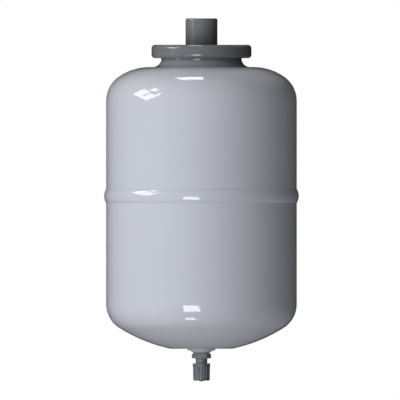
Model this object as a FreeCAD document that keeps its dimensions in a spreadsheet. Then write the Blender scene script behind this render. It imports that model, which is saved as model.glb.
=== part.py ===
import FreeCAD, Part
import math
import os
import re

import Sketcher

# A small bag-type expansion vessel, in millimetres, hanging below its connection.
# The origin is the centre of the cover flange's top face, where the connection stub stands up.
# +Z points out along the stub. The tank, its air valve and the valve's cap hang below along -Z.

doc = FreeCAD.newDocument("ExpansionVessel")

# Every name holds an underscore, so that it can be told from a function in a formula.
SIZES = {
    # connection stub: a G 1/2 male end, 20.955 mm over its crests
    "stub_radius": 10.4775,
    "stub_height": 17.35,
    "stub_rounding": 1.3,
    "water_bore": 7.5,
    "spigot_radius": 9.5,
    # cover flange and its sunk M4 screws
    "flange_radius": 32.8,
    "flange_height": 8.8,
    "flange_rounding": 2.4,
    "screw_count": 6,
    "screw_circle": 21.5,
    "screw_radius": 2.0,
    "screw_length": 12.0,
    "screw_root": 0.1,
    "head_radius": 3.5,
    "head_height": 4.0,
    "head_sink": 4.3,
    "socket_corner": 1.73,
    "socket_depth": 2.0,
    "pocket_radius": 3.8,
    "clearance_hole": 2.25,
    "tapped_hole": 2.02,
    "tapped_depth": 9.0,
    # weld-in neck collar under the flange
    "collar_radius": 26.35,
    "collar_flare": 5.7,
    "collar_foot": 31.2,
    "collar_depth": 20.0,
    "mouth_radius": 14.5,
    "neck_opening": 24.0,
    # bladder
    "rubber_thickness": 1.6,
    "lip_radius": 17.5,
    "lip_height": 2.4,
    "lip_clearance": 0.1,
    "bag_neck": 14.3,
    "bag_neck_z": -24.3,
    "bag_radius": 48.0,
    "bag_shoulder": 33.0,
    "bag_straight": 74.0,
    # tank shells
    "tank_radius": 62.5,
    "wall_thickness": 1.5,
    "top_z": -14.6,
    "shoulder_flat": 34.05,
    "shoulder_crown": 35.35,
    "shoulder_knuckle": 19.4,
    "girth_z": -99.15,
    "base_z": -199.35,
    "base_flat": 20.1,
    "base_crown": 100.45,
    "base_knuckle": 18.45,
    # rolled band between the shells, and the backing ring behind both joints
    "band_half": 4.65,
    "band_rise": 1.34,
    "ring_half": 7.0,
    "ring_thickness": 1.4,
    # air valve, measured down from the tank's flat base
    "boss_spigot": 7.0,
    "boss_inside": 4.9,
    "boss_bore": 4.1,
    "ledge_radius": 9.05,
    "ledge_height": 1.1,
    "cone_top": 7.45,
    "cone_bottom": 5.9,
    "cone_height": 1.05,
    "washer_radius": 5.55,
    "washer_height": 0.85,
    "stem_thread": 4.0,
    "hex_corner": 6.35,
    "hex_height": 3.4,
    "hex_overlap": 0.05,
    "hex_chamfer_start": 5.45,
    "hex_chamfer_end": 6.65,
    "hex_chamfer_slope": 0.577,
    "stem_radius": 3.84,
    "stem_end": 18.65,
    "stem_chamfer": 0.4,
    "air_bore": 1.6,
    "core_bore": 2.3,
    "core_mouth": 2.65,
    "air_bore_end": 4.65,
    "core_step": 12.65,
    # valve core, measured up from the stem's open end
    "core_inset": 1.1,
    "core_head": 2.6,
    "core_head_top": 6.0,
    "core_neck": 1.9,
    "core_top": 10.4,
    "core_slot": 1.3,
    "core_slot_depth": 1.6,
    "core_slot_run": 0.5,
    "seal_root": 1.6,
    "seal_bottom": 6.8,
    "seal_top": 8.6,
    "spring_bore": 1.2,
    "spring_stop": 9.0,
    "pin_hole": 0.72,
    "pin_radius": 0.55,
    "pin_start": 0.5,
    "pin_collar": 1.0,
    "pin_collar_z": 2.6,
    "pin_collar_top": 3.1,
    "pin_head": 0.9,
    "cup_radius": 1.85,
    "cup_recess": 1.55,
    "cup_rim": 10.8,
    "cup_floor": 11.4,
    "cup_top": 12.5,
    "pin_top": 12.9,
    "cup_seal_gap": 0.03,
    "wire_radius": 0.14,
    "wire_gap": 0.01,
    "coil_radius": 0.85,
    "coil_pitch": 0.7,
    "coil_height": 5.55,
    # ribbed dust cap, measured down from the tank's flat base
    "cap_mouth": 9.55,
    "cap_collar": 5.7,
    "cap_collar_end": 11.95,
    "cap_top_radius": 5.6,
    "cap_end_radius": 5.46,
    "cap_end": 20.92,
    "cap_rounding": 0.9,
    "cap_bore": 4.0,
    "cap_bore_end": 19.55,
    "cap_nub": 2.0,
    "cap_nub_height": 0.45,
    "cap_flutes": 18,
    "flute_radius": 0.55,
    "flute_circle": 5.75,
    "flute_length": 7.9,
    "gasket_radius": 3.75,
    "gasket_height": 0.8,
    "gasket_gap": 0.04,
}

sheet = doc.addObject("Spreadsheet::Sheet", "Sizes")
for row, (alias, size) in enumerate(SIZES.items(), 1):
    sheet.set(f"A{row}", alias)
    sheet.set(f"B{row}", str(size))
    sheet.setAlias(f"B{row}", alias)
doc.recompute()

sub_parts = []


# ---------------------------------------------------------------- building blocks

def bound(formula):
    """A formula over the sheet's names, as the document's objects read it."""
    return re.sub(r"\b([a-z]+_[a-z_]*)\b", r"Sizes.\1", formula)


def number(formula):
    """What a formula over the sheet's names comes to."""
    return float(sheet.evalExpression(formula))


def new_body(label, height="0"):
    """A sub-part, standing at a height that follows the sheet."""
    body = doc.addObject("PartDesign::Body", label)
    body.Label = label
    body.setExpression("Placement.Base.z", bound(height))
    sub_parts.append(body)
    return body


def new_sketch(body, name, plane, height="0"):
    """A sketch on one of the body's own planes, raised along that plane's normal."""
    sketch = body.newObject("Sketcher::SketchObject", name)
    planes = {feature.Role: feature for feature in body.Origin.OriginFeatures}
    sketch.AttachmentSupport = [(planes[plane], "")]
    sketch.MapMode = "FlatFace"
    sketch.setExpression("AttachmentOffset.Base.z", bound(height))
    return sketch


def drive(sketch, kind, edge, point, formula):
    """Bind one coordinate of an edge's end, or an arc's radius, to the sheet."""
    place = [edge] if point is None else [edge, point]
    if kind != "Radius" and formula == "0":
        axis = -2 if kind == "DistanceX" else -1
        sketch.addConstraint(Sketcher.Constraint("PointOnObject", *place, axis))
        return
    index = sketch.addConstraint(Sketcher.Constraint(kind, *place, number(formula)))
    sketch.setExpression(f"Constraints[{index}]", bound(formula))


def arc_between(start, end, radius, side):
    """The short arc from start to end that turns to that side, and which of its ends is the start."""
    chord = end - start
    rise = math.sqrt(radius ** 2 - (chord.Length / 2) ** 2)
    left = FreeCAD.Vector(-chord.y, chord.x, 0).normalize()
    centre = (start + end) / 2 + left * (rise if side == "left" else -rise)
    first, last = (start, end) if side == "left" else (end, start)
    angles = [math.atan2(p.y - centre.y, p.x - centre.x) for p in (first, last)]
    circle = Part.Circle(centre, FreeCAD.Vector(0, 0, 1), radius)
    return Part.ArcOfCircle(circle, *angles), (1, 2) if side == "left" else (2, 1)


def draw_outline(sketch, steps):
    """Draw a closed outline. Each step is where an edge ends, as formulas for its two coordinates.

    A step of four values arrives by an arc instead: its radius, and the side to which it turns.
    """
    corners = [FreeCAD.Vector(number(x), number(y), 0) for x, y, *_ in steps]
    drawn = []
    for index, (x, y, *bend) in enumerate(steps):
        start, end = corners[index - 1], corners[index]
        if bend:
            shape, ends = arc_between(start, end, number(bend[0]), bend[1])
        else:
            shape, ends = Part.LineSegment(start, end), (1, 2)
        edge = sketch.addGeometry(shape, False)
        drawn.append((edge, ends))
    for index, (edge, (first, last)) in enumerate(drawn):
        before, (_, before_last) = drawn[index - 1]
        sketch.addConstraint(Sketcher.Constraint("Coincident", before, before_last, edge, first))
        x, y, *bend = steps[index]
        drive(sketch, "DistanceX", edge, last, x)
        drive(sketch, "DistanceY", edge, last, y)
        if bend:
            drive(sketch, "Radius", edge, None, bend[0])


def turn(body, name, *outlines):
    """Turn outlines of radius and height about the body's Z axis into a solid."""
    sketch = new_sketch(body, f"{name}Outline", "XZ_Plane")
    for steps in outlines:
        draw_outline(sketch, steps)
    feature = body.newObject("PartDesign::Revolution", name)
    feature.Profile = sketch
    feature.ReferenceAxis = (sketch, ["V_Axis"])
    feature.Angle = 360
    doc.recompute()
    return feature


def turned_part(label, steps, height="0"):
    """A sub-part that is one turned outline."""
    body = new_body(label, height)
    turn(body, f"{label}_turned", steps)
    return body


def confirm_cut(body, feature, volume_before):
    """A cut that points away from the solid removes nothing, so it is an error."""
    doc.recompute()
    if not body.Shape.Volume < volume_before - 1e-4:
        raise RuntimeError(f"{body.Label}: {feature.Label} removed nothing")


def turn_groove(body, name, *outlines):
    """Turn outlines of radius and height about Z and cut them away."""
    before = body.Shape.Volume
    sketch = new_sketch(body, f"{name}Outline", "XZ_Plane")
    for steps in outlines:
        draw_outline(sketch, steps)
    feature = body.newObject("PartDesign::Groove", name)
    feature.Profile = sketch
    feature.ReferenceAxis = (sketch, ["V_Axis"])
    feature.Angle = 360
    confirm_cut(body, feature, before)
    return feature


def draw_circle(sketch, radius, offset="0"):
    """A circle whose centre lies at an offset along the sketch's first axis."""
    centre = FreeCAD.Vector(number(offset), 0, 0)
    circle = sketch.addGeometry(Part.Circle(centre, FreeCAD.Vector(0, 0, 1), number(radius)), False)
    drive(sketch, "DistanceX", circle, 3, offset)
    drive(sketch, "DistanceY", circle, 3, "0")
    drive(sketch, "Radius", circle, None, radius)


def draw_hexagon(sketch, corner_radius, offset="0"):
    """A regular hexagon with two of its corners on the sketch's first axis."""
    centre = FreeCAD.Vector(number(offset), 0, 0)
    size = number(corner_radius)
    corners = [
        centre + FreeCAD.Vector(math.cos(k * math.pi / 3), math.sin(k * math.pi / 3), 0) * size
        for k in range(6)
    ]
    sides = [
        sketch.addGeometry(Part.LineSegment(corners[k], corners[(k + 1) % 6]), False)
        for k in range(6)
    ]
    around = sketch.addGeometry(Part.Circle(centre, FreeCAD.Vector(0, 0, 1), size), True)
    drive(sketch, "DistanceX", around, 3, offset)
    drive(sketch, "DistanceY", around, 3, "0")
    drive(sketch, "Radius", around, None, corner_radius)
    for k, side in enumerate(sides):
        following = sides[(k + 1) % 6]
        sketch.addConstraint(Sketcher.Constraint("Coincident", side, 2, following, 1))
        sketch.addConstraint(Sketcher.Constraint("PointOnObject", side, 1, around))
        if k:
            sketch.addConstraint(Sketcher.Constraint("Equal", sides[0], side))
    sketch.addConstraint(Sketcher.Constraint("PointOnObject", sides[0], 1, -1))


def pad_down(body, name, sketch, length):
    """Raise a sketch downwards into a solid."""
    feature = body.newObject("PartDesign::Pad", name)
    feature.Profile = sketch
    feature.Reversed = True
    feature.setExpression("Length", bound(length))
    doc.recompute()
    return feature


def pocket_down(body, name, sketch, length):
    """Cut a sketch downwards through the solid."""
    before = body.Shape.Volume
    feature = body.newObject("PartDesign::Pocket", name)
    feature.Profile = sketch
    feature.setExpression("Length", bound(length))
    confirm_cut(body, feature, before)
    return feature


def repeat_round(body, name, features, count):
    """Repeat features evenly about the body's Z axis."""
    axes = {feature.Role: feature for feature in body.Origin.OriginFeatures}
    pattern = body.newObject("PartDesign::PolarPattern", name)
    pattern.Originals = features
    pattern.Axis = (axes["Z_Axis"], [""])
    pattern.Angle = 360
    pattern.setExpression("Occurrences", bound(count))
    body.Tip = pattern
    doc.recompute()
    return pattern


# ---------------------------------------------------------------- connection and cover flange

def make_connection_nipple():
    """The stub, with a spigot that fills the flange's bore, and the water passage through both."""
    turned_part("connection_nipple", [
        ("water_bore", "stub_height"),
        ("stub_radius - stub_rounding", "stub_height"),
        ("stub_radius", "stub_height - stub_rounding", "stub_rounding", "right"),
        ("stub_radius", "0"),
        ("spigot_radius", "0"),
        ("spigot_radius", "-flange_height"),
        ("water_bore", "-flange_height"),
    ])


def make_cover_flange():
    """A round steel cover with rounded edges and sunk screw seats."""
    body = turned_part("cover_flange", [
        ("spigot_radius", "0"),
        ("flange_radius - flange_rounding", "0"),
        ("flange_radius", "-flange_rounding", "flange_rounding", "right"),
        ("flange_radius", "flange_rounding - flange_height"),
        ("flange_radius - flange_rounding", "-flange_height", "flange_rounding", "right"),
        ("spigot_radius", "-flange_height"),
    ])
    seat = new_sketch(body, "ScrewSeatSketch", "XY_Plane")
    draw_circle(seat, "pocket_radius", "screw_circle")
    seat_cut = pocket_down(body, "ScrewSeat", seat, "head_sink")
    hole = new_sketch(body, "ScrewHoleSketch", "XY_Plane")
    draw_circle(hole, "clearance_hole", "screw_circle")
    hole_cut = pocket_down(body, "ScrewHole", hole, "flange_height")
    repeat_round(body, "ScrewSeats", [seat_cut, hole_cut], "screw_count")


def make_flange_screws():
    """Socket-head screws, each standing on the floor of its seat."""
    body = new_body("flange_screws", "-head_sink")
    head = new_sketch(body, "HeadSketch", "XY_Plane", "head_height")
    draw_circle(head, "head_radius", "screw_circle")
    head_pad = pad_down(body, "Head", head, "head_height")
    shank = new_sketch(body, "ShankSketch", "XY_Plane", "screw_root")
    draw_circle(shank, "screw_radius", "screw_circle")
    shank_pad = pad_down(body, "Shank", shank, "screw_length + screw_root")
    socket = new_sketch(body, "SocketSketch", "XY_Plane", "head_height")
    draw_hexagon(socket, "socket_corner", "screw_circle")
    socket_cut = pocket_down(body, "Socket", socket, "socket_depth")
    repeat_round(body, "Screws", [head_pad, shank_pad, socket_cut], "screw_count")


def make_neck_collar():
    """The weld-in collar that carries the flange: it flares onto the tank and drops into its opening."""
    flare_bottom = "top_z + collar_flare"
    foot_drop = "sqrt(collar_flare^2 - (collar_radius + collar_flare - collar_foot)^2)"
    body = turned_part("neck_collar", [
        ("collar_radius", "-flange_height"),
        ("collar_radius", flare_bottom),
        ("collar_foot", f"{flare_bottom} - {foot_drop}", "collar_flare", "left"),
        ("collar_foot", "top_z"),
        ("neck_opening", "top_z"),
        ("neck_opening", "-collar_depth"),
        ("mouth_radius", "-collar_depth"),
        ("mouth_radius", "-flange_height - lip_height"),
        ("lip_radius + lip_clearance", "-flange_height - lip_height"),
        ("lip_radius + lip_clearance", "-flange_height"),
    ])
    tapping = new_sketch(body, "TappedHoleSketch", "XY_Plane", "-flange_height")
    draw_circle(tapping, "tapped_hole", "screw_circle")
    tapped = pocket_down(body, "TappedHole", tapping, "tapped_depth")
    repeat_round(body, "TappedHoles", [tapped], "screw_count")


# ---------------------------------------------------------------- tank

def shoulder_points(inset):
    """Where the shoulder's large arc meets its knuckle, and the knuckle's level, inset from outside."""
    knuckle_r = "(tank_radius - shoulder_knuckle)"
    crown_z = "(top_z - shoulder_crown)"
    reach = "(shoulder_crown - shoulder_knuckle)"
    drop = f"sqrt({reach}^2 - ({knuckle_r} - shoulder_flat)^2)"
    share = f"((shoulder_crown - {inset}) / {reach})"
    join_r = f"shoulder_flat + ({knuckle_r} - shoulder_flat) * {share}"
    join_z = f"{crown_z} + {drop} * {share}"
    return join_r, join_z, f"{crown_z} + {drop}"


def base_points(inset):
    """Where the base's crown meets its knuckle, and the levels of the knuckle and the crown's centre."""
    knuckle_r = "(tank_radius - base_knuckle)"
    crown_z = "(base_z + sqrt(base_crown^2 - base_flat^2))"
    reach = "(base_crown - base_knuckle)"
    drop = f"sqrt({reach}^2 - {knuckle_r}^2)"
    share = f"((base_crown - {inset}) / {reach})"
    return f"{knuckle_r} * {share}", f"{crown_z} - {drop} * {share}", f"{crown_z} - {drop}", crown_z


def make_upper_shell():
    """The upper half: an opening for the collar, a flat ring, a rounded shoulder and the wall."""
    outer_r, outer_z, knuckle_z = shoulder_points("0")
    inner_r, inner_z, _ = shoulder_points("wall_thickness")
    turned_part("upper_shell", [
        ("neck_opening", "top_z"),
        ("shoulder_flat", "top_z"),
        (outer_r, outer_z, "shoulder_crown", "right"),
        ("tank_radius", knuckle_z, "shoulder_knuckle", "right"),
        ("tank_radius", "girth_z + band_half"),
        ("tank_radius - wall_thickness", "girth_z + band_half"),
        ("tank_radius - wall_thickness", knuckle_z),
        (inner_r, inner_z, "shoulder_knuckle - wall_thickness", "left"),
        ("shoulder_flat", "top_z - wall_thickness", "shoulder_crown - wall_thickness", "left"),
        ("neck_opening", "top_z - wall_thickness"),
    ])


def make_lower_shell():
    """The lower half: the wall, a knuckle, a spherical crown and the flat that carries the valve."""
    outer_r, outer_z, knuckle_z, crown_z = base_points("0")
    inner_r, inner_z, _, _ = base_points("wall_thickness")
    inner_crown = "(base_crown - wall_thickness)"
    inner_level = "(base_z + wall_thickness)"
    inner_flat = f"sqrt({inner_crown}^2 - ({crown_z} - {inner_level})^2)"
    turned_part("lower_shell", [
        ("tank_radius", "girth_z - band_half"),
        ("tank_radius", knuckle_z),
        (outer_r, outer_z, "base_knuckle", "right"),
        ("base_flat", "base_z", "base_crown", "right"),
        ("boss_spigot", "base_z"),
        ("boss_spigot", inner_level),
        (inner_flat, inner_level),
        (inner_r, inner_z, inner_crown, "left"),
        ("tank_radius - wall_thickness", knuckle_z, "base_knuckle - wall_thickness", "left"),
        ("tank_radius - wall_thickness", "girth_z - band_half"),
    ])


def make_girth_band():
    """The rolled band that joins the shells: a ring of the same wall that swells out to a rounded bead."""
    band_radius = "(band_half^2 + band_rise^2) / (2 * band_rise)"
    turned_part("girth_band", [
        ("tank_radius - wall_thickness", "band_half"),
        ("tank_radius", "band_half"),
        ("tank_radius + band_rise", "0", band_radius, "right"),
        ("tank_radius", "-band_half", band_radius, "right"),
        ("tank_radius - wall_thickness", "-band_half"),
    ], "girth_z")


def make_backing_ring():
    """The ring inside that centres the shells on the band and backs both welds."""
    outside = "tank_radius - wall_thickness"
    turned_part("backing_ring", [
        (f"{outside} - ring_thickness", "ring_half"),
        (outside, "ring_half"),
        (outside, "-ring_half"),
        (f"{outside} - ring_thickness", "-ring_half"),
    ], "girth_z")


def make_bladder():
    """The rubber bag: a lip that the flange clamps, a neck through the collar, and a round-ended bag."""
    lip_bottom = "-flange_height - lip_height"
    shoulder_z = "bag_neck_z - bag_shoulder"
    bottom_z = f"{shoulder_z} - bag_straight"
    inner_neck = "bag_neck - rubber_thickness"
    inner_bag = "bag_radius - rubber_thickness"
    turned_part("bladder", [
        (inner_neck, "-flange_height"),
        ("lip_radius", "-flange_height"),
        ("lip_radius", lip_bottom),
        ("bag_neck", lip_bottom),
        ("bag_neck", "bag_neck_z"),
        ("bag_radius - bag_shoulder", "bag_neck_z"),
        ("bag_radius", shoulder_z, "bag_shoulder", "right"),
        ("bag_radius", bottom_z),
        ("0", f"{bottom_z} - bag_radius", "bag_radius", "right"),
        ("0", f"{bottom_z} - bag_radius + rubber_thickness"),
        (inner_bag, bottom_z, inner_bag, "left"),
        (inner_bag, shoulder_z),
        ("bag_radius - bag_shoulder", "bag_neck_z - rubber_thickness",
         "bag_shoulder - rubber_thickness", "left"),
        (inner_neck, "bag_neck_z - rubber_thickness"),
    ])


# ---------------------------------------------------------------- air valve

BOSS_BOTTOM = "-(ledge_height + cone_height)"
WASHER_BOTTOM = "-(ledge_height + cone_height + washer_height)"
HEX_BOTTOM = "-(ledge_height + cone_height + washer_height + hex_height)"


def make_valve_boss():
    """The bush welded through the tank's flat base."""
    turned_part("valve_boss", [
        ("boss_bore", "boss_inside"),
        ("boss_spigot", "boss_inside"),
        ("boss_spigot", "0"),
        ("ledge_radius", "0"),
        ("ledge_radius", "-ledge_height"),
        ("cone_top", "-ledge_height"),
        ("cone_bottom", BOSS_BOTTOM),
        ("boss_bore", BOSS_BOTTOM),
    ], "base_z")


def make_valve_washer():
    """The sealing washer between the boss and the valve's hexagon."""
    turned_part("valve_washer", [
        ("boss_bore", BOSS_BOTTOM),
        ("washer_radius", BOSS_BOTTOM),
        ("washer_radius", WASHER_BOTTOM),
        ("boss_bore", WASHER_BOTTOM),
    ], "base_z")


def make_valve_stem():
    """The valve's body: a thread into the boss, a hexagon, a round stem and a stepped bore."""
    body = new_body("valve_stem", "base_z")
    turn(body, "StemTurned", [
        ("air_bore", "boss_inside"),
        ("stem_thread", "boss_inside"),
        ("stem_thread", WASHER_BOTTOM),
        ("stem_radius", WASHER_BOTTOM),
        ("stem_radius", "stem_chamfer - stem_end"),
        ("stem_radius - stem_chamfer", "-stem_end"),
        ("core_mouth", "-stem_end"),
        ("core_mouth", "-core_step"),
        ("core_bore", "-core_step"),
        ("core_bore", "-air_bore_end"),
        ("air_bore", "-air_bore_end"),
    ])
    hexagon = new_sketch(body, "HexagonSketch", "XY_Plane", WASHER_BOTTOM)
    draw_hexagon(hexagon, "hex_corner")
    draw_circle(hexagon, "stem_radius - hex_overlap")
    pad_down(body, "Hexagon", hexagon, "hex_height")
    drop = "(hex_chamfer_end - hex_chamfer_start) * hex_chamfer_slope"
    turn_groove(body, "HexagonChamfers", [
        ("hex_chamfer_start", WASHER_BOTTOM),
        ("hex_chamfer_end", WASHER_BOTTOM),
        ("hex_chamfer_end", f"{WASHER_BOTTOM} - {drop}"),
    ], [
        ("hex_chamfer_start", HEX_BOTTOM),
        ("hex_chamfer_end", f"{HEX_BOTTOM} + {drop}"),
        ("hex_chamfer_end", HEX_BOTTOM),
    ])


def make_core_barrel():
    """The core's screwed head and neck, slotted at the open end for its key."""
    body = turned_part("core_barrel", [
        ("spring_bore", "core_inset"),
        ("core_head", "core_inset"),
        ("core_head", "core_head_top"),
        ("core_neck", "core_head_top"),
        ("core_neck", "seal_bottom"),
        ("seal_root", "seal_bottom"),
        ("seal_root", "seal_top"),
        ("core_neck", "seal_top"),
        ("core_neck", "core_top"),
        ("pin_hole", "core_top"),
        ("pin_hole", "spring_stop"),
        ("spring_bore", "spring_stop"),
    ], "base_z - stem_end")
    slot = new_sketch(body, "KeySlotSketch", "XY_Plane", "core_inset + core_slot_depth")
    half = "core_slot / 2"
    draw_outline(slot, [
        ("-core_head - core_slot_run", f"-{half}"),
        ("core_head + core_slot_run", f"-{half}"),
        ("core_head + core_slot_run", half),
        ("-core_head - core_slot_run", half),
    ])
    pocket_down(body, "KeySlot", slot, "core_slot_depth + core_slot_run")


def make_core_seal():
    """The ring round the barrel's neck that seals it in the stem."""
    turned_part("core_seal", [
        ("seal_root", "seal_top"),
        ("core_bore", "seal_top"),
        ("core_bore", "seal_bottom"),
        ("seal_root", "seal_bottom"),
    ], "base_z - stem_end")


def make_core_pin():
    """The pin that a gauge presses, with the spring's collar and a riveted top."""
    turned_part("core_pin", [
        ("0", "pin_start"),
        ("pin_radius", "pin_start"),
        ("pin_radius", "pin_collar_z"),
        ("pin_collar", "pin_collar_z"),
        ("pin_collar", "pin_collar_top"),
        ("pin_radius", "pin_collar_top"),
        ("pin_radius", "cup_top"),
        ("pin_head", "cup_top"),
        ("pin_head", "pin_top"),
        ("0", "pin_top"),
    ], "base_z - stem_end")


def make_core_cup():
    """The cup that closes against the barrel's top, carried by the pin."""
    turned_part("core_cup", [
        ("pin_radius", "cup_top"),
        ("cup_radius", "cup_top"),
        ("cup_radius", "cup_rim"),
        ("cup_recess", "cup_rim"),
        ("cup_recess", "cup_floor"),
        ("pin_radius", "cup_floor"),
    ], "base_z - stem_end")


def make_core_cup_seal():
    """The rubber face in the cup."""
    turned_part("core_cup_seal", [
        ("pin_radius", "cup_floor"),
        ("cup_recess", "cup_floor"),
        ("cup_recess", "core_top + cup_seal_gap"),
        ("pin_radius", "core_top + cup_seal_gap"),
    ], "base_z - stem_end")


def make_core_spring():
    """The coil between the pin's collar and the stop inside the barrel."""
    body = new_body("core_spring", "base_z - stem_end")
    sketch = new_sketch(body, "WireSketch", "XZ_Plane")
    start_z = "pin_collar_top + wire_radius + wire_gap"
    centre = FreeCAD.Vector(number("coil_radius"), number(start_z), 0)
    wire = Part.Circle(centre, FreeCAD.Vector(0, 0, 1), number("wire_radius"))
    circle = sketch.addGeometry(wire, False)
    drive(sketch, "DistanceX", circle, 3, "coil_radius")
    drive(sketch, "DistanceY", circle, 3, start_z)
    drive(sketch, "Radius", circle, None, "wire_radius")
    coil = body.newObject("PartDesign::AdditiveHelix", "Coil")
    coil.Profile = sketch
    coil.ReferenceAxis = (sketch, ["V_Axis"])
    coil.Mode = "pitch-height-angle"
    coil.setExpression("Pitch", bound("coil_pitch"))
    coil.setExpression("Height", bound("coil_height"))
    doc.recompute()


# ---------------------------------------------------------------- dust cap

def make_valve_cap():
    """The fluted dust cap with its collar, rounded end and small moulding nub."""
    body = turned_part("valve_cap", [
        ("cap_bore", "-cap_mouth"),
        ("cap_collar", "-cap_mouth"),
        ("cap_collar", "-cap_collar_end"),
        ("cap_top_radius", "-cap_collar_end"),
        ("cap_end_radius", "cap_rounding - cap_end"),
        ("cap_end_radius - cap_rounding", "-cap_end", "cap_rounding", "right"),
        ("cap_nub", "-cap_end"),
        ("cap_nub - cap_nub_height", "-cap_end - cap_nub_height"),
        ("0", "-cap_end - cap_nub_height"),
        ("0", "-cap_bore_end"),
        ("cap_bore", "-cap_bore_end"),
    ], "base_z")
    flute = new_sketch(body, "FluteSketch", "XY_Plane", "-cap_collar_end")
    draw_circle(flute, "flute_radius", "flute_circle")
    flute_cut = pocket_down(body, "Flute", flute, "flute_length")
    repeat_round(body, "Flutes", [flute_cut], "cap_flutes")


def make_cap_gasket():
    """The rubber disc between the cap's floor and the stem's end."""
    turned_part("cap_gasket", [
        ("0", "gasket_gap + gasket_height - cap_bore_end"),
        ("gasket_radius", "gasket_gap + gasket_height - cap_bore_end"),
        ("gasket_radius", "gasket_gap - cap_bore_end"),
        ("0", "gasket_gap - cap_bore_end"),
    ], "base_z")


make_connection_nipple()
make_cover_flange()
make_flange_screws()
make_neck_collar()
make_bladder()
make_upper_shell()
make_lower_shell()
make_girth_band()
make_backing_ring()
make_valve_boss()
make_valve_washer()
make_valve_stem()
make_core_barrel()
make_core_seal()
make_core_pin()
make_core_cup()
make_core_cup_seal()
make_core_spring()
make_valve_cap()
make_cap_gasket()
doc.recompute()

for item in doc.Objects:
    if {"Invalid", "Error"} & set(item.State):
        raise RuntimeError(f"{item.Label} failed: {item.State}")
for body in sub_parts:
    if body.Shape.isNull() or not body.Shape.isValid():
        raise RuntimeError(f"{body.Label} has no valid shape")

os.makedirs("parts", exist_ok=True)
for body in sub_parts:
    body.Shape.exportStep(f"parts/{body.Label}.step")
    print(f"{body.Label}: {len(body.Shape.Solids)} solids, {body.Shape.Volume:.2f} cubic mm")
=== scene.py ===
import math

import bmesh
import bpy
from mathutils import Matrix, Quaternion, Vector


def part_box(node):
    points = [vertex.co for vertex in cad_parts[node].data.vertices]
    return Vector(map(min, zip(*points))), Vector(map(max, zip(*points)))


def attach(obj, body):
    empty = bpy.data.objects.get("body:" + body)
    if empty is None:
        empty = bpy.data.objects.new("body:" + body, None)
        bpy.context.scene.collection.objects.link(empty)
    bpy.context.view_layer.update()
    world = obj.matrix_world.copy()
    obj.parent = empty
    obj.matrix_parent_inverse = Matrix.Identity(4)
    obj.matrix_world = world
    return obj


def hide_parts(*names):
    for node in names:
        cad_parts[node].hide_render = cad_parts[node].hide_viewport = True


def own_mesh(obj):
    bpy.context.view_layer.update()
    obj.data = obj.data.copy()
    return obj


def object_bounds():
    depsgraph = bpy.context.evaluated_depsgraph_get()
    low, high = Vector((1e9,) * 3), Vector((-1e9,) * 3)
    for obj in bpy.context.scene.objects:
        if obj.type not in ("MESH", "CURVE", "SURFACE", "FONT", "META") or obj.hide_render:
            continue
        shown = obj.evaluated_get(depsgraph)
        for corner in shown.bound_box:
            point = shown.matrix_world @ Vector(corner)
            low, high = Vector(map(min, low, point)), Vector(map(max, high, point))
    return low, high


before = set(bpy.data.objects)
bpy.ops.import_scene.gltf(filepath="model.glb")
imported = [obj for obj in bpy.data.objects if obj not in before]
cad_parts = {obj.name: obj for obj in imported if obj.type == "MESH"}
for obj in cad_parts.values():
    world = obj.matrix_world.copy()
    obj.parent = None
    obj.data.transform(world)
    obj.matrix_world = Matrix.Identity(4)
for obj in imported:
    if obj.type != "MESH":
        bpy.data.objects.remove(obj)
cad_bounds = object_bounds()

MM = 0.001


# ---------------------------------------------------------------- sizes, from the frame

def top(node):
    """The highest point of a CAD node."""
    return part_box(node)[1].z


def bottom(node):
    """The lowest point of a CAD node."""
    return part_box(node)[0].z


def outside(node):
    """The outer radius of a round CAD node."""
    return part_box(node)[1].x


tank_radius = outside("upper_shell")
tank_top = top("upper_shell")
band_top, band_bottom = top("girth_band"), bottom("girth_band")
base_level = bottom("lower_shell")
wall = 1.5 * MM
neck_opening = 24 * MM

flange_bottom = bottom("cover_flange")

stem_end = bottom("valve_stem")
hex_top = bottom("valve_washer")
boss_bottom = bottom("valve_boss")
boss_top = top("valve_boss")
cap_mouth = top("valve_cap")
cap_bottom = bottom("valve_cap")


# ---------------------------------------------------------------- mesh building

ROUND = 320
ARC_STEP = math.radians(2.5)
ON_AXIS = 1e-7


def arc(start, end, radius, side):
    """The points after start, up to end, of the short arc that turns to that side."""
    start, end = Vector(start), Vector(end)
    chord = end - start
    rise = math.sqrt(max(radius ** 2 - (chord.length / 2) ** 2, 0))
    left = Vector((-chord.y, chord.x)).normalized()
    centre = (start + end) / 2 + left * (rise if side == "left" else -rise)
    first = math.atan2(start.y - centre.y, start.x - centre.x)
    sweep = 2 * math.asin(min(1, chord.length / 2 / radius)) * (1 if side == "left" else -1)
    steps = max(3, math.ceil(abs(sweep) / ARC_STEP))
    return [
        (centre.x + radius * math.cos(first + sweep * k / steps),
         centre.y + radius * math.sin(first + sweep * k / steps))
        for k in range(1, steps + 1)
    ]


def outline(*steps):
    """A closed outline's points. A step of four values arrives by an arc, and gives the arc's
    radius and side."""
    points = []
    for index, (r, z, *bend) in enumerate(steps):
        if bend:
            start = steps[index - 1][:2]
            points += arc(start, (r, z), *bend)
        else:
            points.append((r, z))
    return points


def ring_of(bm, r, z, change, segments):
    """One ring of vertices, or a single one on the axis."""
    if r < ON_AXIS:
        return [bm.verts.new((0, 0, z))]
    ring = []
    for k in range(segments):
        angle = 2 * math.pi * k / segments
        at = change(angle, r, z) if change else r
        ring.append(bm.verts.new((at * math.cos(angle), at * math.sin(angle), z)))
    return ring


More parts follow.
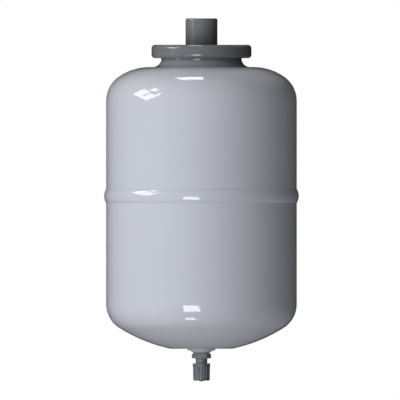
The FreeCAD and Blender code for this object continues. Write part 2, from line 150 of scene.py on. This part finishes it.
def lathe(name, points, change=None, segments=ROUND):
    """A solid turned from a closed outline. change(angle, r, z) may alter the radius on the way."""
    bm = bmesh.new()
    rings = [ring_of(bm, r, z, change, segments) for r, z in points]
    for ring, following in zip(rings, rings[1:] + rings[:1]):
        if len(ring) == 1 and len(following) == 1:
            continue
        for k in range(segments):
            nxt = (k + 1) % segments
            corners = [ring[k % len(ring)], ring[nxt % len(ring)],
                       following[nxt % len(following)], following[k % len(following)]]
            bm.faces.new(list(dict.fromkeys(corners)))
    bmesh.ops.recalc_face_normals(bm, faces=bm.faces)
    mesh = bpy.data.meshes.new(name)
    bm.to_mesh(mesh)
    bm.free()
    piece = bpy.data.objects.new(name, mesh)
    bpy.context.scene.collection.objects.link(piece)
    return piece


def soften(piece, width, segments=2, angle=30):
    """Round the piece's sharp edges a little, and shade the rest smooth."""
    piece.data.shade_smooth()
    bevel = piece.modifiers.new("soft_edges", "BEVEL")
    bevel.width = width
    bevel.segments = segments
    bevel.limit_method = "ANGLE"
    bevel.angle_limit = math.radians(angle)
    bevel.harden_normals = True


def finish_piece(piece, material, node, body="root"):
    """Give a piece its material, hide its CAD node and put the piece on its body in the node's
    place.
    """
    piece.data.materials.clear()
    piece.data.materials.append(material)
    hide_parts(node)
    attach(piece, body)


# ---------------------------------------------------------------- materials

def start_material(name):
    """A new material with its shader, and a coordinate in metres."""
    material = bpy.data.materials.new(name)
    material.use_nodes = True
    nodes = material.node_tree.nodes
    shader = nodes["Principled BSDF"]
    place = nodes.new("ShaderNodeTexCoord").outputs["Object"]
    return material, shader, place


def noise(material, place, scale, detail):
    """A noise pattern over the coordinate, with this many features to the metre."""
    node = material.node_tree.nodes.new("ShaderNodeTexNoise")
    node.inputs["Scale"].default_value = scale
    node.inputs["Detail"].default_value = detail
    material.node_tree.links.new(place, node.inputs["Vector"])
    return node.outputs["Fac"]


def spread(material, value, low, high, start=0.3, end=0.7):
    """A value from start to end mapped to a range. The defaults span most of a noise pattern."""
    node = material.node_tree.nodes.new("ShaderNodeMapRange")
    node.inputs["From Min"].default_value = start
    node.inputs["From Max"].default_value = end
    node.inputs["To Min"].default_value = low
    node.inputs["To Max"].default_value = high
    material.node_tree.links.new(value, node.inputs["Value"])
    return node.outputs["Result"]


def blend_colours(material, value, first, second):
    """Two colours mixed by a value from 0 to 1."""
    node = material.node_tree.nodes.new("ShaderNodeMix")
    node.data_type = "RGBA"
    node.inputs["A"].default_value = (*first, 1)
    node.inputs["B"].default_value = (*second, 1)
    material.node_tree.links.new(value, node.inputs["Factor"])
    return node.outputs["Result"]


def shade(colour, factor):
    """A colour made lighter or darker."""
    return tuple(channel * factor for channel in colour)


def relief(material, shader, height, depth):
    """Fine relief from a pattern, at half strength."""
    node = material.node_tree.nodes.new("ShaderNodeBump")
    node.inputs["Strength"].default_value = 0.5
    node.inputs["Distance"].default_value = depth
    material.node_tree.links.new(height, node.inputs["Height"])
    material.node_tree.links.new(node.outputs["Normal"], shader.inputs["Normal"])


def mottled(material, place, scale, detail, colour, darkest, lightest):
    """A colour that varies between two shades of itself, by a noise pattern."""
    pattern = spread(material, noise(material, place, scale, detail), 0, 1)
    return blend_colours(material, pattern, shade(colour, darkest), shade(colour, lightest))


def uneven_gloss(material, shader, place, scale, detail, low, high):
    """Roughness that varies between two values, by a noise pattern."""
    pattern = spread(material, noise(material, place, scale, detail), low, high)
    material.node_tree.links.new(pattern, shader.inputs["Roughness"])


def gloss_paint():
    """Light grey gloss paint, with a very slight drift in tone and gloss."""
    material, shader, place = start_material("gloss_paint")
    tone = mottled(material, place, 14, 3, (0.636, 0.661, 0.752), 0.985, 1.015)
    material.node_tree.links.new(tone, shader.inputs["Base Color"])
    uneven_gloss(material, shader, place, 70, 3, 0.03, 0.055)
    return material


def dark_coating(name, grey, foot=1.0, rise=1.0, start=0.0):
    """Dark grey semi-gloss coating. Below the level start its tone is multiplied by foot, and over
    the height rise it comes back to the plain grey. A foot below one is painted shade towards the
    bottom of the piece, and one above one is painted light there."""
    material, shader, place = start_material(name)
    nodes, links = material.node_tree.nodes, material.node_tree.links
    split = nodes.new("ShaderNodeSeparateXYZ")
    links.new(place, split.inputs["Vector"])
    # Painted light and shade: the tone changes with height, by the foot factor towards the bottom.
    up = spread(material, split.outputs["Z"], 0, 1, start, start + rise)
    tone = nodes.new("ShaderNodeMix")
    tone.data_type = "RGBA"
    tone.blend_type = "MULTIPLY"
    tone.inputs["Factor"].default_value = 1
    links.new(mottled(material, place, 160, 4, grey, 0.96, 1.04), tone.inputs["A"])
    links.new(blend_colours(material, up, (foot,) * 3, (1, 1, 1)), tone.inputs["B"])
    links.new(tone.outputs["Result"], shader.inputs["Base Color"])
    uneven_gloss(material, shader, place, 120, 2, 0.125, 0.135)
    return material


def dark_metal():
    """Dark nickel plate over turned brass: fine turning lines round the axis."""
    material, shader, place = start_material("dark_metal")
    shader.inputs["Specular IOR Level"].default_value = 0.25
    tone = mottled(material, place, 700, 4, (0.228, 0.235, 0.265), 0.86, 1.12)
    material.node_tree.links.new(tone, shader.inputs["Base Color"])
    uneven_gloss(material, shader, place, 900, 3, 0.3, 0.44)
    relief(material, shader, turning_lines(material, place, 9000), 0.006 * MM)
    return material


def turning_lines(material, place, scale):
    """Fine lines round the Z axis, as a lathe tool leaves them."""
    nodes, links = material.node_tree.nodes, material.node_tree.links
    split = nodes.new("ShaderNodeSeparateXYZ")
    join = nodes.new("ShaderNodeCombineXYZ")
    links.new(place, split.inputs["Vector"])
    links.new(split.outputs["Z"], join.inputs["Z"])
    return noise(material, join.outputs["Vector"], scale, 2)


def moulded_plastic():
    """Dark grey moulded plastic with a fine matt grain."""
    material, shader, place = start_material("moulded_plastic")
    tone = mottled(material, place, 500, 3, (0.134, 0.143, 0.177), 0.92, 1.08)
    material.node_tree.links.new(tone, shader.inputs["Base Color"])
    uneven_gloss(material, shader, place, 1200, 2, 0.38, 0.5)
    relief(material, shader, noise(material, place, 4000, 2), 0.01 * MM)
    return material


def matt_rubber(name, base):
    """Matt rubber with a fine bloom. base is its tone, near black for most of the seals."""
    material, shader, place = start_material(name)
    tone = mottled(material, place, 220, 4, (base, base, base * 1.05), 1, 1.7)
    material.node_tree.links.new(tone, shader.inputs["Base Color"])
    uneven_gloss(material, shader, place, 800, 3, 0.6, 0.78)
    relief(material, shader, noise(material, place, 2500, 2), 0.02 * MM)
    return material


def metal(name, colour, rough):
    """A worked metal: a little uneven in colour and finish."""
    material, shader, place = start_material(name)
    shader.inputs["Metallic"].default_value = 1.0
    tone = mottled(material, place, 600, 4, colour, 0.85, 1.08)
    material.node_tree.links.new(tone, shader.inputs["Base Color"])
    uneven_gloss(material, shader, place, 1200, 3, rough - 0.07, rough + 0.07)
    relief(material, shader, noise(material, place, 2400, 2), 0.008 * MM)
    return material


paint = gloss_paint()
coating = dark_coating("dark_coating", (0.191, 0.196, 0.214))
# The stub's coating is painted darker towards its foot on the flange. It is half its tone there and
# plain 13 mm up. This is painted shade.
stub_coating_painted_shade = dark_coating("stub_coating_painted_shade", (0.2, 0.205, 0.224), 0.51, 13 * MM)
# The neck collar's coating is a lighter copy of the flange coating, and 1.42 times lighter again at
# its foot. This is painted light in place of the flange's shade on the neck.
collar_coating_painted_light = dark_coating(
    "collar_coating_painted_light", (0.222, 0.227, 0.246), 1.42, 1.6 * MM, flange_bottom - 2.2 * MM
)
valve_metal = dark_metal()
plastic = moulded_plastic()
butyl = matt_rubber("butyl_rubber", 0.03)
seal_rubber = matt_rubber("seal_rubber", 0.022)
grey_rubber = matt_rubber("grey_rubber", 0.225)
black_steel = metal("black_oxide_steel", (0.09, 0.09, 0.095), 0.38)
bare_steel = metal("bare_steel", (0.5, 0.5, 0.51), 0.42)
brass = metal("turned_brass", (0.72, 0.53, 0.24), 0.28)
spring_steel = metal("spring_steel", (0.6, 0.6, 0.61), 0.25)


# ---------------------------------------------------------------- tank

def two_arcs(crown, knuckle, crown_r, crown_z, sign, inset):
    """Where a large arc meets the knuckle that leads into the wall, and the knuckle's level."""
    knuckle_r = tank_radius - knuckle
    drop = math.sqrt((crown - knuckle) ** 2 - (knuckle_r - crown_r) ** 2)
    share = (crown - inset) / (crown - knuckle)
    join = crown_r + (knuckle_r - crown_r) * share, crown_z + sign * drop * share
    return join, crown_z + sign * drop


def make_upper_shell():
    """The upper shell: a flat ring round the neck, a rounded shoulder and the wall."""
    crown, knuckle, flat = 35.35 * MM, 19.4 * MM, 34.05 * MM
    crown_z = tank_top - crown
    join, level = two_arcs(crown, knuckle, flat, crown_z, 1, 0)
    inner, _ = two_arcs(crown, knuckle, flat, crown_z, 1, wall)
    piece = lathe("upper_shell_painted", outline(
        (neck_opening, tank_top),
        (flat, tank_top),
        (*join, crown, "right"),
        (tank_radius, level, knuckle, "right"),
        (tank_radius, band_top),
        (tank_radius - wall, band_top),
        (tank_radius - wall, level),
        (*inner, knuckle - wall, "left"),
        (flat, tank_top - wall, crown - wall, "left"),
        (neck_opening, tank_top - wall),
    ))
    soften(piece, 0.1 * MM, angle=40)
    finish_piece(piece, paint, "upper_shell")


def make_lower_shell():
    """The lower shell: the wall, a knuckle, a shallow crown and the flat round the valve."""
    crown, knuckle, flat, hole = 100.45 * MM, 18.45 * MM, 20.1 * MM, 7 * MM
    crown_z = base_level + math.sqrt(crown ** 2 - flat ** 2)
    inner_flat = math.sqrt((crown - wall) ** 2 - (crown_z - base_level - wall) ** 2)
    join, level = two_arcs(crown, knuckle, 0, crown_z, -1, 0)
    inner, _ = two_arcs(crown, knuckle, 0, crown_z, -1, wall)
    piece = lathe("lower_shell_painted", outline(
        (tank_radius, band_bottom),
        (tank_radius, level),
        (*join, knuckle, "right"),
        (flat, base_level, crown, "right"),
        (hole, base_level),
        (hole, base_level + wall),
        (inner_flat, base_level + wall),
        (*inner, crown - wall, "left"),
        (tank_radius - wall, level, knuckle - wall, "left"),
        (tank_radius - wall, band_bottom),
    ))
    soften(piece, 0.1 * MM, angle=40)
    finish_piece(piece, paint, "lower_shell")


def make_girth_band():
    """The rolled band: a ring of the wall that swells out to a rounded bead."""
    half = (band_top - band_bottom) / 2
    rise = outside("girth_band") - tank_radius
    radius = (half ** 2 + rise ** 2) / (2 * rise)
    piece = lathe("girth_band_painted", outline(
        (tank_radius - wall, band_top),
        (tank_radius, band_top),
        (tank_radius + rise, band_top - half, radius, "right"),
        (tank_radius, band_bottom, radius, "right"),
        (tank_radius - wall, band_bottom),
    ))
    soften(piece, 0.1 * MM, angle=60)
    finish_piece(piece, paint, "girth_band")


# ---------------------------------------------------------------- connection

def make_nipple():
    """The smooth connection stub, with its bore open to the bladder."""
    radius, bore, spigot = outside("connection_nipple"), 7.5 * MM, 9.5 * MM
    high, rounding = top("connection_nipple"), 1.3 * MM
    piece = lathe("connection_nipple_coated", outline(
        (bore, high),
        (radius - rounding, high),
        (radius, high - rounding, rounding, "right"),
        (radius, 0),
        (spigot, 0),
        (spigot, flange_bottom),
        (bore, flange_bottom),
    ))
    soften(piece, 0.12 * MM, 3)
    finish_piece(piece, stub_coating_painted_shade, "connection_nipple")


def make_neck_collar():
    """The collar that flares from under the flange onto the tank."""
    neck, flare, foot = 26.35 * MM, 5.7 * MM, outside("neck_collar")
    depth, mouth, seat = bottom("neck_collar"), 14.5 * MM, 17.6 * MM
    seat_level = flange_bottom - 2.4 * MM
    drop = math.sqrt(flare ** 2 - (neck + flare - foot) ** 2)
    lip, lip_level, lip_curve = 0.2 * MM, flange_bottom - 1.1 * MM, 3.2 * MM
    piece = lathe("neck_collar_coated", outline(
        (neck + lip, flange_bottom),
        (neck, lip_level, lip_curve, "left"),
        (foot, tank_top + flare - drop, flare, "left"),
        (foot, tank_top),
        (neck_opening, tank_top),
        (neck_opening, depth),
        (mouth, depth),
        (mouth, seat_level),
        (seat, seat_level),
        (seat, flange_bottom),
    ))
    soften(piece, 0.08 * MM)
    finish_piece(piece, collar_coating_painted_light, "neck_collar")


# ---------------------------------------------------------------- air valve

def make_valve_boss():
    """The bush under the tank: a thin ledge and a hollow cone that ends in a rounded lip."""
    bore, spigot, ledge = 4.1 * MM, 7 * MM, outside("valve_boss")
    ledge_level = base_level - 1.15 * MM
    cone_top, cone_bottom = 7.75 * MM, 6 * MM
    lip = 0.2 * MM
    lip_curve = lip * 1.7
    piece = lathe("valve_boss_painted", outline(
        (bore, boss_top),
        (spigot, boss_top),
        (spigot, base_level),
        (ledge, base_level),
        (ledge, ledge_level),
        (cone_top, ledge_level),
        (cone_bottom + lip, boss_bottom + lip),
        (cone_bottom - lip, boss_bottom, lip_curve, "right"),
        (bore, boss_bottom),
    ))
    soften(piece, 0.12 * MM, 3, 35)
    finish_piece(piece, paint, "valve_boss")


def hexagon_radius(angle, corner):
    """How far a hexagon's side lies from its centre, with corners on X."""
    flat = corner * math.cos(math.pi / 6)
    return flat / math.cos((angle % (math.pi / 3)) - math.pi / 6)


def make_valve_stem():
    """The valve body: a chamfered hexagon above a stem cut with the fine tyre-valve thread."""
    corner, hex_bottom = outside("valve_stem"), hex_top - 3.4 * MM
    stem, spigot, bore, mouth = 3.84 * MM, 4 * MM, 1.6 * MM, 2.65 * MM
    core_bore, step, core_stop = 2.3 * MM, stem_end + 6 * MM, base_level - 4.65 * MM
    pitch, depth, end_chamfer = 0.794 * MM, 0.3 * MM, 0.35 * MM
    thread_start, rows_per_turn = cap_mouth + 0.9 * MM, 7
    chamfer_run, chamfer_drop = 1.1 * MM, 0.55 * MM
    rows = rows_per_turn * int((thread_start - stem_end) / pitch)
    levels = [thread_start + (stem_end - thread_start) * k / rows for k in range(1, rows)]

    def radius_at(angle, r, z):
        if hex_bottom <= z <= hex_top and r > spigot * 1.01:
            end = min(hex_top - z, z - hex_bottom)
            cone = corner - chamfer_run * (1 - min(1, end / chamfer_drop))
            return min(hexagon_radius(angle, corner), cone)
        if r == stem and stem_end < z < thread_start:
            phase = (z / pitch + angle / (2 * math.pi)) % 1
            run_out = min(1, (thread_start - z) / pitch, (z - stem_end) / (0.6 * pitch))
            return r - depth * run_out * abs(2 * phase - 1)
        return r

    hex_rows = [hex_top, hex_top - chamfer_drop / 2, hex_top - chamfer_drop,
                hex_bottom + chamfer_drop, hex_bottom + chamfer_drop / 2, hex_bottom]
    points = [(bore, boss_top), (spigot, boss_top), (spigot, hex_top)]
    points += [(corner, z) for z in hex_rows]
    points += [(stem, hex_bottom), (stem, thread_start)]
    points += [(stem, z) for z in levels]
    points += [(stem - end_chamfer, stem_end), (mouth, stem_end), (mouth, step),
               (core_bore, step), (core_bore, core_stop), (bore, core_stop)]
    piece = lathe("valve_stem_plated", points, radius_at)
    piece.data.shade_smooth()
    piece.data.set_sharp_from_angle(angle=math.radians(35))
    finish_piece(piece, valve_metal, "valve_stem")


def make_valve_cap():
    """The dust cap: a plain collar, flutes between rounded ribs, a soft end and a moulding nub."""
    collar, bore = outside("valve_cap"), 4 * MM
    collar_end = cap_mouth - 2.4 * MM
    neck, end = 5.6 * MM, 5.46 * MM
    rounding, nub, nub_height = 0.9 * MM, 2 * MM, 0.45 * MM
    end_level = cap_bottom + nub_height
    floor = end_level + 1.37 * MM
    flutes, flute, circle = 18, 0.55 * MM, 5.75 * MM
    flute_lead, run_out = 0.3 * MM, 0.6 * MM
    flute_end = collar_end - 7.9 * MM
    body_rows, steps_per_flute = 14, 16

    def radius_at(angle, r, z):
        if not flute_end - run_out < z < collar_end or r < end - rounding:
            return r
        pitch = 2 * math.pi / flutes
        away = abs((angle + pitch / 2) % pitch - pitch / 2)
        inside = flute ** 2 - (circle * math.sin(away)) ** 2
        if inside <= 0:
            return r
        groove = circle * math.cos(away) - math.sqrt(inside)
        fade = min(1, (z - flute_end + run_out) / run_out, (collar_end - z) / flute_lead)
        return min(r, r + (groove - r) * fade)

    side = [
        (neck + (end - neck) * k / body_rows,
         collar_end + (end_level + rounding - collar_end) * k / body_rows)
        for k in range(body_rows + 1)
    ]
    side.insert(1, (neck, collar_end - flute_lead))
    points = outline(
        (bore, cap_mouth),
        (collar, cap_mouth),
        (collar, collar_end),
        *side,
        (end - rounding, end_level, rounding, "right"),
        (nub, end_level),
        (nub * 0.45, cap_bottom, nub * 1.5, "left"),
        (0, cap_bottom),
        (0, floor),
        (bore, floor),
    )
    piece = lathe("valve_cap_moulded", points, radius_at, flutes * steps_per_flute)
    soften(piece, 0.1 * MM, 2, 38)
    finish_piece(piece, plastic, "valve_cap", "cap")


# ---------------------------------------------------------------- carried-over CAD nodes

def repaint(node, material):
    """Give a CAD node a better material in every slot that it has."""
    for material_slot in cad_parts[node].material_slots:
        material_slot.material = material


for node, material in {
    "cover_flange": coating,
    "flange_screws": black_steel,
    "bladder": butyl,
    "backing_ring": bare_steel,
    "valve_washer": grey_rubber,
    "core_barrel": brass,
    "core_seal": seal_rubber,
    "core_pin": brass,
    "core_cup": brass,
    "core_cup_seal": seal_rubber,
    "core_spring": spring_steel,
    "cap_gasket": seal_rubber,
}.items():
    repaint(node, material)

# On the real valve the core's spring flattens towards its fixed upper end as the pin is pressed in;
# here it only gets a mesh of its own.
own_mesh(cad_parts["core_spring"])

make_upper_shell()
make_lower_shell()
make_girth_band()
make_nipple()
make_neck_collar()
make_valve_boss()
make_valve_stem()
make_valve_cap()


# ---------------------------------------------------------------- floor, world, lights and camera

def toward(azimuth, elevation):
    """The direction to a light. Azimuth 0 is the camera's side, and positive is to its right."""
    a, e = math.radians(azimuth), math.radians(elevation)
    return Vector((math.sin(a) * math.cos(e), -math.cos(a) * math.cos(e), math.sin(e)))


middle = (cad_bounds[0] + cad_bounds[1]) / 2
STUDIO = 3.0
FLOOR_LEVEL, FLOOR_HALF_WIDTH = -3.5, 12


def panel(name, azimuth, elevation, width, height, radiance,
          mirrored=False, roll=0, tint=(1, 1, 1)):
    """A rectangular panel at the studio's edge, with its place and size in degrees as seen from
    the vessel. A mirrored one is seen in gloss only, and any other lights softly only."""
    light = bpy.data.lights.new(name, "AREA")
    light.color = tint
    light.shape = "RECTANGLE"
    light.size = 2 * STUDIO * math.tan(math.radians(width) / 2)
    light.size_y = 2 * STUDIO * math.tan(math.radians(height) / 2)
    light.energy = radiance * math.pi * light.size * light.size_y
    lamp = bpy.data.objects.new(name, light)
    bpy.context.scene.collection.objects.link(lamp)
    heading = toward(azimuth, elevation)
    lamp.location = middle + heading * STUDIO
    lamp.rotation_mode = "QUATERNION"
    upright = heading.to_track_quat("Z", "Y")
    lamp.rotation_quaternion = upright @ Quaternion((0, 0, 1), math.radians(-roll))
    lamp.visible_diffuse = not mirrored
    lamp.visible_glossy = mirrored
    lamp.visible_camera = False


def make_window():
    """A slanting window to the left, seen in the gloss: two large panes and two slivers."""
    panel("window_left", -83, 24.5, 15, 20, 9, True, 26)
    panel("window_right", -68.5, 14, 14, 19, 9, True, 42)
    panel("window_edge", -56, 23, 4, 10, 9, True, 15)
    panel("window_top", -68, 37.5, 11, 7, 9, True, 30)


def make_floor():
    """A plain pale floor well below the hanging vessel."""
    bm = bmesh.new()
    bmesh.ops.create_grid(bm, x_segments=1, y_segments=1, size=FLOOR_HALF_WIDTH)
    mesh = bpy.data.meshes.new("floor")
    bm.to_mesh(mesh)
    bm.free()
    floor = bpy.data.objects.new("floor", mesh)
    bpy.context.scene.collection.objects.link(floor)
    floor.location.z = FLOOR_LEVEL
    material, shader, place = start_material("pale_floor")
    shader.inputs["Roughness"].default_value = 0.9
    tone = spread(material, noise(material, place, 3, 2), 0, 1)
    mixed = blend_colours(material, tone, (0.78, 0.78, 0.78), (0.82, 0.82, 0.82))
    material.node_tree.links.new(mixed, shader.inputs["Base Color"])
    mesh.materials.append(material)


def make_world():
    """A white backdrop for the camera, and a dark room that glows a little at its ceiling, its
    upper rear and its lower rear."""
    world = bpy.data.worlds.new("studio")
    world.use_nodes = True
    bpy.context.scene.world = world
    nodes, links = world.node_tree.nodes, world.node_tree.links
    nodes.clear()
    out = nodes.new("ShaderNodeOutputWorld")
    mix = nodes.new("ShaderNodeMixShader")
    room = nodes.new("ShaderNodeBackground")
    white = nodes.new("ShaderNodeBackground")
    path = nodes.new("ShaderNodeLightPath")
    place = nodes.new("ShaderNodeTexCoord")
    split = nodes.new("ShaderNodeSeparateXYZ")
    room.inputs["Color"].default_value = (1.0, 0.97, 0.9, 1)
    white.inputs["Color"].default_value = (1, 1, 1, 1)
    links.new(place.outputs["Generated"], split.inputs["Vector"])

    def ramp(axis, start, end, high):
        """A rise from nothing to a height, along one axis of the direction looked in."""
        node = nodes.new("ShaderNodeMapRange")
        node.inputs["From Min"].default_value = start
        node.inputs["From Max"].default_value = end
        node.inputs["To Max"].default_value = high
        links.new(split.outputs[axis], node.inputs["Value"])
        return node.outputs["Result"]

    def combine(operation, first, second):
        """Two values joined by a maths operation."""
        node = nodes.new("ShaderNodeMath")
        node.operation = operation
        links.new(first, node.inputs[0])
        links.new(second, node.inputs[1])
        return node.outputs["Value"]

    upper_glow, lower_glow, ceiling_glow = 0.42, 0.3, 0.14
    rear = ramp("Y", 0, 0.3, 1)
    band = combine("MULTIPLY", ramp("Z", 0.3, 0.7, upper_glow), ramp("Z", 0.9, 0.75, 1))
    upper_rear = combine("MULTIPLY", rear, band)
    lower_rear = combine("MULTIPLY", rear, ramp("Z", -0.25, -0.5, lower_glow))
    ceiling = ramp("Z", 0.7, 0.85, ceiling_glow)
    glow = combine("MAXIMUM", combine("MAXIMUM", upper_rear, ceiling), lower_rear)
    links.new(glow, room.inputs["Strength"])
    links.new(path.outputs["Is Camera Ray"], mix.inputs["Fac"])
    links.new(room.outputs["Background"], mix.inputs[1])
    links.new(white.outputs["Background"], mix.inputs[2])
    links.new(mix.outputs["Shader"], out.inputs["Surface"])


def make_camera():
    """A level camera with no perspective, square on to the front."""
    frame_width, distance = 262.3 * MM, 2
    centre_x, centre_z = -0.97 * MM, -101.8 * MM
    data = bpy.data.cameras.new("camera")
    data.type = "ORTHO"
    data.ortho_scale = frame_width
    data.clip_end = 20
    camera = bpy.data.objects.new("camera", data)
    bpy.context.scene.collection.objects.link(camera)
    camera.location = (centre_x, -distance, centre_z)
    camera.rotation_euler = (math.radians(90), 0, 0)
    bpy.context.scene.camera = camera


make_window()
panel("key_softbox", -42, 10, 60, 60, 1.56)
panel("left_softbox", -70, 12, 60, 60, 0.5)
panel("front_softbox", -20, 0, 60, 60, 0.64)
panel("high_softbox", -60, 50, 50, 50, 0.47, tint=(1, 0.97, 0.84))
panel("right_fill", 30, 10, 60, 60, 0.1)
panel("low_fill", 25, -60, 60, 60, 0.31, tint=(0.97, 0.99, 1))
panel("rear_fill", 172, 8, 44, 60, 1.5)
panel("overhead", -145, 79.2, 14.5, 17, 9, True, 33)
panel("front_lamp", -12.2, -19.3, 19, 25, 10, True)
panel("low_lamp", -22, -62, 9, 11, 9, True)
make_floor()
make_world()
make_camera()
bpy.context.scene.view_settings.view_transform = "Standard"
